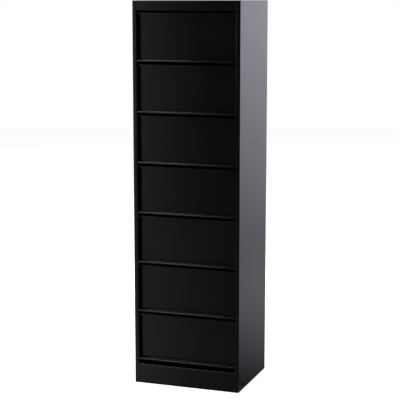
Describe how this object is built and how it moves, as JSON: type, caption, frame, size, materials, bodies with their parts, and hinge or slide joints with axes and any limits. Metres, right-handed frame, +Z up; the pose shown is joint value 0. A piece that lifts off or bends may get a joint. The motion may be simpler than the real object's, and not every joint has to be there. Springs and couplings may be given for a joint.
{
  "type": "tall chest of drawers",
  "caption": "Tall narrow sheet-steel chest with a folded carcass, a plinth, and equal drawers whose recessed fronts slide out by full-width rolled pull lips.",
  "frame": {"origin": "on the floor, at the centre of the footprint", "axes": "+Z up, the drawer fronts face -Y, +X towards the right-hand side seen from the front"},
  "size_m": [0.4, 0.326, 1.39],
  "materials": {
    "black_enamel": "satin black powder coat",
    "zinc_steel": "bright zinc plate",
    "rubber": "moulded, matt",
    "nylon": "moulded black nylon"
  },
  "bodies": {
    "carcass": {"left_side_panel": "black_enamel", "right_side_panel": "black_enamel", "back_panel": "black_enamel", "top_panel": "black_enamel", "base_panel": "black_enamel", "header_rail": "black_enamel", "badge_plate": "black_enamel", "plinth": "black_enamel", "rear_foot_rail": "black_enamel", "cross_rail_1": "black_enamel", "cross_rail_2": "black_enamel", "cross_rail_3": "black_enamel", "cross_rail_4": "black_enamel", "cross_rail_5": "black_enamel", "cross_rail_6": "black_enamel", "runner_left_1": "zinc_steel", "runner_right_1": "zinc_steel", "runner_left_2": "zinc_steel", "runner_right_2": "zinc_steel", "runner_left_3": "zinc_steel", "runner_right_3": "zinc_steel", "runner_left_4": "zinc_steel", "runner_right_4": "zinc_steel", "runner_left_5": "zinc_steel", "runner_right_5": "zinc_steel", "runner_left_6": "zinc_steel", "runner_right_6": "zinc_steel", "runner_left_7": "zinc_steel", "runner_right_7": "zinc_steel", "buffer_1": "rubber", "buffer_2": "rubber", "buffer_3": "rubber", "buffer_4": "rubber", "buffer_5": "rubber", "buffer_6": "rubber", "buffer_7": "rubber", "glide_front_left": "nylon", "glide_front_right": "nylon", "glide_rear_left": "nylon", "glide_rear_right": "nylon"},
    "drawer_1": {"drawer_front_1": "black_enamel", "drawer_tray_1": "black_enamel"},
    "drawer_2": {"drawer_front_2": "black_enamel", "drawer_tray_2": "black_enamel"},
    "drawer_3": {"drawer_front_3": "black_enamel", "drawer_tray_3": "black_enamel"},
    "drawer_4": {"drawer_front_4": "black_enamel", "drawer_tray_4": "black_enamel"},
    "drawer_5": {"drawer_front_5": "black_enamel", "drawer_tray_5": "black_enamel"},
    "drawer_6": {"drawer_front_6": "black_enamel", "drawer_tray_6": "black_enamel"},
    "drawer_7": {"drawer_front_7": "black_enamel", "drawer_tray_7": "black_enamel"}
  },
  "joints": [
    {"name": "drawer_1_slide", "type": "slide", "parent": "carcass", "child": "drawer_1", "axis": [0, -1, 0], "range_m": [0, 0.23]},
    {"name": "drawer_2_slide", "type": "slide", "parent": "carcass", "child": "drawer_2", "axis": [0, -1, 0], "range_m": [0, 0.23]},
    {"name": "drawer_3_slide", "type": "slide", "parent": "carcass", "child": "drawer_3", "axis": [0, -1, 0], "range_m": [0, 0.23]},
    {"name": "drawer_4_slide", "type": "slide", "parent": "carcass", "child": "drawer_4", "axis": [0, -1, 0], "range_m": [0, 0.23]},
    {"name": "drawer_5_slide", "type": "slide", "parent": "carcass", "child": "drawer_5", "axis": [0, -1, 0], "range_m": [0, 0.23]},
    {"name": "drawer_6_slide", "type": "slide", "parent": "carcass", "child": "drawer_6", "axis": [0, -1, 0], "range_m": [0, 0.23]},
    {"name": "drawer_7_slide", "type": "slide", "parent": "carcass", "child": "drawer_7", "axis": [0, -1, 0], "range_m": [0, 0.23]}
  ]
}
